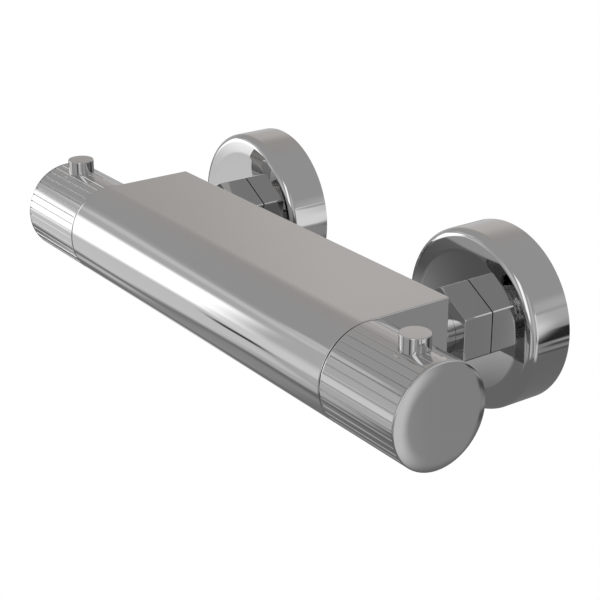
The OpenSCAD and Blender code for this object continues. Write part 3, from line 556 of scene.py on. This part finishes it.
def wear_and_shade_group():
    """Edge wear where the surface turns sharply, broken up by a grain, and a mask of the hollows
    where shade is painted into the colour.
    """
    tree, n, given, made = effect_group(
        "edge wear and hollow shade",
        [("Vector", "Vector", None), ("Float", "Grain", 400.0), ("Float", "Amount", 1.0)],
        [("Float", "Wear"), ("Float", "Painted Hollow Shade")])
    turn = n.add("NewGeometry").outputs["Pointiness"]
    grain = n.noise(given.outputs["Vector"], given.outputs["Grain"], 4.0, 0.65)
    edge = n.ramp(turn, 0.52, 0.62)
    worn = n.math("MULTIPLY", edge, n.ramp(grain, 0.35, 0.65))
    n.link(n.math("MULTIPLY", worn, given.outputs["Amount"]), made.inputs["Wear"])
    # painted shade: this mask rises where the surface turns inward, so that the colour is darkened in
    # hollows and grooves
    n.link(n.ramp(turn, 0.48, 0.40), made.inputs["Painted Hollow Shade"])
    return tree


def grain_group():
    """Fine grain of moulded, cast or sintered stuff, with slow changes of tone under it."""
    tree, n, given, made = effect_group(
        "fine grain",
        [("Vector", "Vector", None), ("Float", "Scale", 600.0), ("Float", "Patch Scale", 60.0)],
        [("Float", "Grain"), ("Float", "Patches"), ("Float", "Flecks")])
    at = given.outputs["Vector"]
    n.link(n.noise(at, given.outputs["Scale"], 3.0, 0.6), made.inputs["Grain"])
    n.link(n.noise(at, given.outputs["Patch Scale"], 3.0, 0.5, 0.3), made.inputs["Patches"])
    cells = n.add("TexVoronoi", feature="F1")
    n.link(at, cells.inputs["Vector"])
    n.link(given.outputs["Scale"], cells.inputs["Scale"])
    n.link(n.ramp(cells.outputs["Distance"], 0.28, 0.12), made.inputs["Flecks"])
    return tree


def turning_group():
    """Fine rings left by a lathe tool, across an axis given as a scale per direction."""
    tree, n, given, made = effect_group(
        "turning marks",
        [("Vector", "Vector", None), ("Vector", "Across", (2600.0, 20.0, 20.0))],
        [("Float", "Lines")])
    lines = n.noise(n.stretched(given.outputs["Vector"], given.outputs["Across"]), 1.0, 2.0, 0.6)
    n.link(lines, made.inputs["Lines"])
    return tree


POLISH = polish_group()
WEAR_AND_SHADE = wear_and_shade_group()
GRAIN = grain_group()
TURNING = turning_group()


def start_finish(name, roughness, metallic=0.0):
    """A new material with its shader, its nodes helper and the object coordinates."""
    material = bpy.data.materials.new(name)
    material.use_nodes = True
    n = Nodes(material.node_tree)
    shader = material.node_tree.nodes["Principled BSDF"]
    shader.inputs["Roughness"].default_value = roughness
    shader.inputs["Metallic"].default_value = metallic
    return material, n, shader, n.add("TexCoord").outputs["Object"]


def relief(n, shader, height, distance):
    bump = n.add("Bump")
    bump.inputs["Strength"].default_value = 1.0
    bump.inputs["Distance"].default_value = distance * MM
    n.link(height, bump.inputs["Height"])
    n.link(bump.outputs["Normal"], shader.inputs["Normal"])


def chrome_finish(name, size=1.0, haze=0.5, sharp=0.035, dull=0.10, swell=0.004):
    """Polished chrome plate: a clear mirror with faint polishing haze, a slight swell, and painted
    shade in its hollows.
    """
    material, n, shader, at = start_finish(name, sharp, 1.0)
    marks = use_group(n, POLISH, Vector=at, Size=size, Haze=haze).outputs
    wear_and_shade = use_group(n, WEAR_AND_SHADE, Vector=at, Grain=700.0, Amount=0.5).outputs
    plate = n.tint(n.math("MULTIPLY", marks["Smear"], 0.6), (0.61, 0.61, 0.61), (0.57, 0.57, 0.575))
    plate = n.tint(n.math("MULTIPLY", marks["Specks"], 0.15), plate, (0.47, 0.47, 0.475))
    # painted shade: the plate's colour is darkened in hollows and grooves
    plate = n.tint(n.math("MULTIPLY", wear_and_shade["Painted Hollow Shade"], 0.25), plate, (0.42, 0.42, 0.425))
    n.link(plate, shader.inputs["Base Color"])
    rough = n.blend(marks["Smear"], sharp, dull)
    rough = n.math("MULTIPLY_ADD", wear_and_shade["Wear"], 0.05, rough)
    n.link(rough, shader.inputs["Roughness"])
    relief(n, shader, marks["Relief"], swell)
    return material


def machined_finish(name, bright, deep, across, sharp=0.18, dull=0.38):
    """Turned metal: tool rings, slow tarnish and worn bright edges."""
    material, n, shader, at = start_finish(name, sharp, 1.0)
    lines = use_group(n, TURNING, Vector=at, Across=across).outputs["Lines"]
    grain = use_group(n, GRAIN, Vector=at, Scale=900.0, Patch_Scale=120.0).outputs
    wear_and_shade = use_group(n, WEAR_AND_SHADE, Vector=at, Grain=500.0, Amount=0.8).outputs
    tone = n.tint(n.ramp(grain["Patches"], 0.35, 0.65), bright, deep)
    tone = n.tint(n.math("MULTIPLY", lines, 0.35), tone, deep)
    tone = n.tint(wear_and_shade["Wear"], tone, bright)
    n.link(tone, shader.inputs["Base Color"])
    rough = n.blend(n.math("MULTIPLY", grain["Patches"], lines), sharp, dull)
    n.link(rough, shader.inputs["Roughness"])
    relief(n, shader, n.math("MULTIPLY_ADD", grain["Grain"], 0.3, lines), 0.006)
    return material


def moulded_finish(name, colour, deeper, rough=0.42, scale=700.0, fleck=None, coat=0.0,
                   deep=0.008):
    """Moulded, sintered or cured stuff: fine grain, slow patches, scuffed edges and painted shade in
    hollows.
    """
    material, n, shader, at = start_finish(name, rough)
    grain = use_group(n, GRAIN, Vector=at, Scale=scale, Patch_Scale=80.0).outputs
    wear_and_shade = use_group(n, WEAR_AND_SHADE, Vector=at, Grain=scale, Amount=0.6).outputs
    tone = n.tint(n.ramp(grain["Patches"], 0.3, 0.7), colour, deeper)
    if fleck:
        tone = n.tint(n.math("MULTIPLY", grain["Flecks"], 0.5), tone, fleck)
    scuffed = [min(1, c * 1.25 + 0.03) for c in colour]
    tone = n.tint(n.math("MULTIPLY", wear_and_shade["Wear"], 0.4), tone, scuffed)
    # painted shade: the colour is darkened in hollows
    tone = n.tint(n.math("MULTIPLY", wear_and_shade["Painted Hollow Shade"], 0.5), tone, [c * 0.5 for c in deeper])
    n.link(tone, shader.inputs["Base Color"])
    n.link(n.blend(grain["Grain"], rough - 0.08, rough + 0.12), shader.inputs["Roughness"])
    shader.inputs["Coat Weight"].default_value = coat
    relief(n, shader, n.math("MULTIPLY_ADD", grain["Patches"], 0.5, grain["Grain"]), deep)
    return material


ALONG_X = (2600.0, 30.0, 30.0)
FINISHES = {
    "body_chrome": chrome_finish("body chrome"),
    "knob_chrome": chrome_finish("knob chrome", 1.3, 0.6),
    "cap_chrome": chrome_finish("cap chrome", 1.6, 0.4, 0.05, 0.11),
    "button_chrome": chrome_finish("button chrome", 2.2, 0.4, 0.03, 0.08),
    "fitting_chrome": chrome_finish("fitting chrome", 1.8, 0.7, 0.05, 0.14),
    "rosette_chrome": chrome_finish("rosette chrome", 1.0, 0.5, 0.03, 0.09),
    "raw_brass": machined_finish("raw brass", (0.83, 0.62, 0.30), (0.52, 0.36, 0.16), ALONG_X),
    "spring_steel": machined_finish("spring steel", (0.62, 0.62, 0.60), (0.34, 0.34, 0.35),
                                    ALONG_X, 0.22, 0.4),
    "screw_steel": machined_finish("screw steel", (0.66, 0.65, 0.63), (0.42, 0.41, 0.40),
                                   ALONG_X),
    "natural_plastic": moulded_finish("natural plastic", (0.80, 0.78, 0.70), (0.70, 0.67, 0.58)),
    "cartridge_plastic": moulded_finish("cartridge plastic", (0.10, 0.10, 0.11),
                                        (0.06, 0.06, 0.065), 0.45, 900.0, (0.28, 0.28, 0.28)),
    "disc_ceramic": moulded_finish("disc ceramic", (0.86, 0.85, 0.82), (0.78, 0.77, 0.74),
                                   0.20, 1500.0, (0.6, 0.59, 0.56), 0.3, 0.002),
    "seal_rubber": moulded_finish("seal rubber", (0.020, 0.020, 0.021), (0.035, 0.034, 0.033),
                                  0.62, 1100.0),
    "wax_copper": machined_finish("wax copper", (0.80, 0.42, 0.27), (0.38, 0.19, 0.13),
                                  ALONG_X, 0.25, 0.45),
    "poppet_plastic": moulded_finish("poppet plastic", (0.12, 0.22, 0.50), (0.08, 0.15, 0.38), 0.38),
}


def dress(piece, finish):
    piece.data.materials.clear()
    piece.data.materials.append(FINISHES[finish])


def dress_frame():
    """Gives every CAD node that stays in view the finish of its own slot."""
    for entry in frame["record"]["subparts"]:
        dress(frame["nodes"][entry["node"]], entry["material_slot"])


# Bar

def body_blank():
    """Round in front, flat on top, below and behind: a rod whose rear half is drawn out square."""
    clear_selection()
    bpy.ops.mesh.primitive_cylinder_add(vertices=256, radius=BAR_R * MM, depth=2 * BODY_HALF * MM,
                                        rotation=(0, math.pi / 2, 0), location=(0, AXIS_Y * MM, 0))
    body = new_piece("body")
    bpy.ops.object.transform_apply(location=True, rotation=True, scale=True)
    bpy.ops.object.mode_set(mode="EDIT")
    bpy.ops.mesh.select_all(action="SELECT")
    bpy.ops.mesh.bisect(plane_co=(0, AXIS_Y * MM, 0), plane_no=(0, 1, 0), use_fill=True,
                        clear_outer=True)
    bpy.ops.mesh.extrude_region_move(
        TRANSFORM_OT_translate={"value": (0, (REAR_Y - AXIS_Y) * MM, 0)})
    bpy.ops.mesh.select_all(action="SELECT")
    bpy.ops.mesh.remove_doubles(threshold=MERGE)
    bpy.ops.mesh.dissolve_limited(angle_limit=math.radians(0.3))
    bpy.ops.object.mode_set(mode="OBJECT")
    ease_edges(body, 0.35, 30)
    return body


def make_body():
    """Bar with a cartridge chamber in each end, the two inlet sockets and the outlet's."""
    body = body_blank()
    mouth_r, mouth_depth, chamber_r, core_r, core_depth = 16, 6, 14.6, 6, 30
    for place, chamber in ((BAR_END, 60.0), (MIRROR @ BAR_END, 38.0)):
        cutter = turned("chamber", [(AXIS_R, 1), (mouth_r, 1), (mouth_r, -mouth_depth),
                                    (chamber_r, -mouth_depth), (chamber_r, -chamber),
                                    (core_r, -chamber), (core_r, -chamber - core_depth),
                                    (AXIS_R, -chamber - core_depth)], 96)
        stand(cutter, place)
        carve(body, cutter)
    socket_r, way_r, socket_end, way_end = 11.08, 6, 52.5, 61.5
    for shift in (-2 * INLET_X * MM, 0):
        cutter = turned("socket", [(AXIS_R, 40), (socket_r, 40), (socket_r, socket_end),
                                   (way_r, socket_end), (way_r, way_end), (AXIS_R, way_end)], 64)
        stand(cutter, Matrix.Translation((shift, 0, 0)) @ INLET)
        carve(body, cutter)
    socket_r, way_r, depth, way_depth = 9.08, 6.5, 7, 10.8
    cutter = turned("outlet_socket", [(AXIS_R, -1), (socket_r, -1), (socket_r, depth), (way_r, depth),
                                      (way_r, way_depth), (AXIS_R, way_depth)], 64)
    stand(cutter, OUTLET)
    carve(body, cutter)
    finish_shading(body)
    dress(body, "body_chrome")
    seat(body, "mixer", "valve_body")


# Knobs

def groove_sleeve(sleeve):
    """Pulls every twelfth line of points in, from just behind the edge at the bar."""
    pick(sleeve)
    bpy.ops.object.mode_set(mode="EDIT")
    mesh = bmesh.from_edit_mesh(sleeve.data)
    for face in mesh.faces:
        face.select = False
    step = 360 / GROOVES
    for vertex in mesh.verts:
        co = vertex.co
        outer = math.hypot(co.x, co.y) > (BAR_R - 0.05) * MM
        around = math.degrees(math.atan2(co.y, co.x)) % step
        on_line = min(around, step - around) < 0.1
        vertex.select = outer and on_line and co.z > (GROOVE_START + 0.2) * MM
    mesh.select_flush(True)
    bmesh.update_edit_mesh(sleeve.data)
    inward = (BAR_R - GROOVE_DEPTH) / BAR_R
    bpy.ops.transform.resize(value=(inward, inward, 1), center_override=(0, 0, 0))
    bpy.ops.object.mode_set(mode="OBJECT")


def make_sleeve(name):
    """Grooved sleeve with its end wall and hub, and the boss that guides the button."""
    hub_bore_r, hub_r = 8.85, 10.3
    outside = [(BAR_R - KNOB_EDGE, KNOB_GAP), (BAR_R, KNOB_GAP + KNOB_EDGE), (BAR_R, GROOVE_START),
               (BAR_R, GROOVE_START + 0.3), (BAR_R, SLEEVE_END)]
    inside = [(SLEEVE_BORE_R, SLEEVE_END), (SLEEVE_BORE_R, WEB_OUT), (hub_bore_r, WEB_OUT),
              (hub_bore_r, HUB_IN), (hub_r, HUB_IN), (hub_r, WEB_IN), (SLEEVE_BORE_R, WEB_IN),
              (SLEEVE_BORE_R, KNOB_GAP)]
    sleeve = turned(name, outside + inside + outside[:1], 480)
    groove_sleeve(sleeve)
    ease_edges(sleeve, 0.07, 24, 2)
    collar_way_r, boss_r, boss_low, boss_high = 6.58, 7.68, 12.96, 18.6
    button_way_r, ledge = 5.68, 17.4
    boss = turned("boss", [(collar_way_r, boss_low), (boss_r, boss_low), (boss_r, boss_high),
                           (collar_way_r, boss_high), (collar_way_r, boss_low)], 64)
    stand(boss, BAR_END.inverted() @ BUTTON_AXIS)
    weld(sleeve, boss)
    hole = turned("hole", [(AXIS_R, 12), (collar_way_r, 12), (collar_way_r, ledge),
                           (button_way_r, ledge), (button_way_r, 21), (AXIS_R, 21)], 96)
    stand(hole, BAR_END.inverted() @ BUTTON_AXIS)
    carve(sleeve, hole)
    return sleeve


def make_cap(name):
    """End cap: a disc whose face falls away softly to a small edge, on a thin spigot."""
    face_w, rim_w, floor_w = 41.2, 40.2, 39.8
    spigot_r, spigot_bore_r = 17.42, 15.22
    flat_r, fall_r, edge_r = 13.5, 70.0, 0.4
    lean = math.asin((BAR_R - edge_r - flat_r) / (fall_r - edge_r))
    fall_w = face_w - fall_r
    face = arc(flat_r, fall_w, fall_r, 90, 90 - math.degrees(lean), 9)
    edge = arc(BAR_R - edge_r, fall_w + (fall_r - edge_r) * math.cos(lean), edge_r,
               90 - math.degrees(lean), 0, 5)
    profile = [(AXIS_R, face_w), *face, *edge[1:], (BAR_R, rim_w), (spigot_r, rim_w),
               (spigot_r, WEB_OUT), (spigot_bore_r, WEB_OUT), (spigot_bore_r, floor_w),
               (AXIS_R, floor_w)]
    return turned(name, profile, 192)


def make_button(name):
    """Push button: capped tube with a collar, and the stem with the catch's tongue."""
    cap_r, bore_r, collar_r, stem_r, edge_r = 5.6, 4.4, 6.5, 1.9, 0.35
    top, floor, collar_top, collar_foot, stem_end = 25.5, 22.9, 17.32, 16.22, 11.86
    edge = arc(cap_r - edge_r, top - edge_r, edge_r, 0, 90, 5)
    button = turned(name, [(AXIS_R, top), *reversed(edge), (cap_r, collar_top),
                           (collar_r, collar_top), (collar_r, collar_foot), (bore_r, collar_foot),
                           (bore_r, floor), (stem_r, floor), (stem_r, stem_end),
                           (AXIS_R, stem_end)], 96)
    # a little narrower and thinner than the stem allows, so that no two faces lie in one plane
    tongue_l, tongue_w, tongue_t, tongue_at = 3.4, 3.7, 0.96, 12.36
    clear_selection()
    bpy.ops.mesh.primitive_cube_add(size=1, location=(tongue_l / 2 * MM, 0, tongue_at * MM),
                                    scale=(tongue_l * MM, tongue_w * MM, tongue_t * MM))
    tongue = new_piece("tongue")
    bpy.ops.object.transform_apply(location=True, rotation=True, scale=True)
    ease_edges(tongue, 0.12, 30, 2)
    weld(button, tongue)
    return button


def make_knobs():
    """Right knob and button, each mirrored for the left end before its shading is set."""
    for make, place, piece, node, finish, body, angle in (
        (make_sleeve, BAR_END, "knob_sleeve", "knob", "knob_chrome", "knob", 14),
        (make_cap, BAR_END, "knob_cap", "knob_cap", "cap_chrome", "knob", 32),
        (make_button, BUTTON_AXIS, "push_button", "button", "button_chrome", "button", 32),
    ):
        right = make("right_" + piece)
        stand(right, place)
        left = twin(right, "left_" + piece)
        for whole in (right, left):
            finish_shading(whole, angle)
            dress(whole, finish)
        seat(right, "temperature_" + body, "temperature_" + node)
        seat(left, "flow_" + body, "flow_" + node)


# Inlets

def hexagon_block(name, low, high):
    """Hexagonal bar with softly broken ridges and turned ends."""
    clear_selection()
    corner_r = HEX_AF / 2 / math.cos(math.radians(30))
    bpy.ops.mesh.primitive_cylinder_add(vertices=6, radius=corner_r * MM,
                                        depth=(high - low) * MM,
                                        location=(0, 0, (low + high) / 2 * MM))
    block = new_piece(name)
    bpy.ops.object.transform_apply(location=True, rotation=True, scale=True)
    bpy.ops.object.mode_set(mode="EDIT")
    bpy.ops.mesh.select_mode(type="EDGE")
    bpy.ops.mesh.select_all(action="DESELECT")
    mesh = bmesh.from_edit_mesh(block.data)
    for edge in mesh.edges:
        a, b = edge.verts
        edge.select = abs(a.co.z - b.co.z) > EPS
    bmesh.update_edit_mesh(block.data)
    bpy.ops.mesh.bevel(offset=0.6 * MM, segments=5, affect="EDGES")
    bpy.ops.object.mode_set(mode="OBJECT")
    ease_edges(block, 0.18, 40, 2)
    return block


def make_union_nut(name):
    """Nut that holds the nipple's flange: a wide bore behind, a narrower eye in front."""
    nut = hexagon_block(name, 19.6, 33.0)
    eye_r, thread_r, shoulder = 9.98, 13.28, 30.5
    carve(nut, turned("bore", [(AXIS_R, 34), (eye_r, 34), (eye_r, shoulder), (thread_r, shoulder),
                               (thread_r, 19), (AXIS_R, 19)], 96))
    return nut


def threaded_rod(name, low, high, chamfer_low, chamfer_high):
    """Pipe thread: its V outline swept once round while it climbs one pitch, then cut to length."""
    steps = 72
    turns = math.ceil((high - low) / THREAD_PITCH) + 3
    crest, root = PIPE_THREAD_R, PIPE_THREAD_R - THREAD_DEPTH
    shape = ((0.0, root), (0.12, root), (0.44, crest), (0.56, crest), (0.88, root))
    outline = [(r, low + (turn - 2 + share) * THREAD_PITCH)
               for turn in range(turns) for share, r in shape]
    clear_selection()
    bpy.ops.mesh.primitive_circle_add(vertices=3, radius=1 * MM, fill_type="NOTHING",
                                      location=(0, 0, 0))
    rod = new_piece(name)
    bpy.ops.object.mode_set(mode="EDIT")
    bpy.ops.mesh.select_mode(type="VERT")
    bpy.ops.mesh.select_all(action="SELECT")
    bpy.ops.mesh.merge(type="CENTER")
    r, z = outline[0]
    bpy.ops.transform.translate(value=(r * MM, 0, z * MM))
    for r_next, z_next in outline[1:]:
        bpy.ops.mesh.extrude_vertices_move(
            TRANSFORM_OT_translate={"value": ((r_next - r) * MM, 0, (z_next - z) * MM)})
        r, z = r_next, z_next
    bpy.ops.mesh.select_mode(type="EDGE")
    bpy.ops.mesh.select_all(action="SELECT")
    for _ in range(steps):
        bpy.ops.mesh.extrude_region_move(
            TRANSFORM_OT_translate={"value": (0, 0, THREAD_PITCH / steps * MM)})
        bpy.ops.transform.rotate(value=2 * math.pi / steps, orient_axis="Z",
                                 orient_type="GLOBAL", center_override=(0, 0, 0))
    bpy.ops.mesh.select_all(action="SELECT")
    bpy.ops.mesh.remove_doubles(threshold=5e-6)
    for z, upward in ((high, 1), (low, -1)):
        bpy.ops.mesh.select_all(action="SELECT")
        bpy.ops.mesh.bisect(plane_co=(0, 0, z * MM), plane_no=(0, 0, upward), use_fill=True,
                            clear_outer=True, threshold=1e-7)
    bpy.ops.object.mode_set(mode="OBJECT")
    close_up(rod)
    # the chamfers' cones run on past the ends, so that no corner of theirs lies in a cut
    r, past = crest + 0.02, 1
    keep_within(rod, turned("envelope", [(AXIS_R, low - past), (r - chamfer_low - past, low - past),
                                         (r, low + chamfer_low), (r, high - chamfer_high),
                                         (r - chamfer_high - past, high + past),
                                         (AXIS_R, high + past)], steps))
    return rod


def make_wall_union(name):
    """Hexagon with its shank, the thread for the nut in front and the wall thread behind."""
    nut_thread_r, nut_thread_end, lead, shank_r, bore_r = 13.2, 25.65, 0.8, 11.9, 7.5
    union = hexagon_block(name, 7.4, 15.08)
    weld(union, turned("nut_thread", [(AXIS_R, 14), (nut_thread_r, 14),
                                      (nut_thread_r, nut_thread_end - lead),
                                      (nut_thread_r - lead, nut_thread_end),
                                      (AXIS_R, nut_thread_end)], 96))
    weld(union, turned("shank", [(AXIS_R, 8), (shank_r, 8), (shank_r, 3), (AXIS_R, 3)], 96))
    weld(union, threaded_rod("wall_thread", -14, 4, 0.8, 0.0))
    carve(union, turned("bore", [(AXIS_R, 27), (bore_r, 27), (bore_r, -15), (AXIS_R, -15)], 72))
    return union


def make_nipple(name):
    """Tube from the union into the body, with the flange that the nut pulls on."""
    bore_r, flange_r, neck_r, seat_r, way_r = 7.5, 12.4, 9.9, 11, 6
    foot, flange_top, neck_top, step, top = 27.42, 29.92, 41.5, 43.9, 52.5
    return turned(name, [(bore_r, foot), (flange_r, foot), (flange_r, flange_top),
                         (neck_r, flange_top), (neck_r, neck_top), (seat_r, neck_top),
                         (seat_r, top), (way_r, top), (way_r, step), (bore_r, step),
                         (bore_r, foot)], 96)


def make_rosette(name):
    """Wall rosette: a flat middle that eases into a slope, a rounded nose, a straight side."""
    wall, hole_r, face_w, rosette_r, slope = 1.6, 13.5, 19.4, 35.4, 4
    flat_r, ease_r, nose_r = rosette_r * 0.75, 22.0, 3.3
    rise, run = math.cos(math.radians(slope)), math.sin(math.radians(slope))
    ease = arc(flat_r, face_w - ease_r, ease_r, 90, 90 - slope, 8)
    r, w = ease[-1]
    nose_at = rosette_r - nose_r
    nose_w = w - (nose_at + nose_r * run - r) * run / rise - nose_r * rise
    nose = arc(nose_at, nose_w, nose_r, 0, 90 - slope, 12)
    inner = arc(nose_at, nose_w, nose_r - wall, 90 - slope, 0, 8)
    inner_ease = arc(flat_r, face_w - ease_r, ease_r - wall, 90, 90 - slope, 5)
    profile = [(rosette_r - wall, 0), (rosette_r, 0), *nose, *reversed(ease), (hole_r, face_w),
               (hole_r, face_w - wall), *inner_ease, *inner, (rosette_r - wall, 0)]
    return turned(name, profile, 192)


def make_inlets():
    """Each piece of the cold inlet, mirrored for the hot one before its shading is set."""
    for make, piece, node, finish, width in (
        (make_union_nut, "union_nut", "union_nut", "fitting_chrome", 0.0),
        (make_wall_union, "wall_union", "wall_union", "fitting_chrome", 0.0),
        (make_nipple, "inlet_nipple", "inlet_nipple", "fitting_chrome", 0.15),
        (make_rosette, "wall_rosette", "wall_rosette", "rosette_chrome", 0.12),
    ):
        right = make("cold_" + piece + "_finished")
        if width:
            ease_edges(right, width, 40, 2)
        stand(right, INLET)
        left = twin(right, "hot_" + piece + "_finished")
        for whole in (right, left):
            finish_shading(whole)
            dress(whole, finish)
        seat(right, "mixer", "cold_" + node)
        seat(left, "mixer", "hot_" + node)


def make_outlet():
    """Hose nipple below the body, with its collar and half inch pipe thread."""
    plug_r, plug_depth, collar_r, bore_r = 9, 6.92, 12, 6.5
    collar_low, collar_high, thread_from, thread_to = 1, 4, 3.5, 13
    nipple = turned("outlet_nipple_finished", [(AXIS_R, -plug_depth), (plug_r, -plug_depth),
                                               (plug_r, collar_low), (collar_r, collar_low),
                                               (collar_r, collar_high), (AXIS_R, collar_high)], 96)
    ease_edges(nipple, 0.2, 40, 2)
    weld(nipple, threaded_rod("hose_thread", thread_from, thread_to, 0.0, 0.8))
    carve(nipple, turned("bore", [(AXIS_R, -8), (bore_r, -8), (bore_r, 14), (AXIS_R, 14)], 72))
    stand(nipple, OUTLET)
    finish_shading(nipple)
    dress(nipple, "fitting_chrome")
    seat(nipple, "mixer", "outlet_nipple")


dress_frame()
make_body()
make_knobs()
make_inlets()
make_outlet()
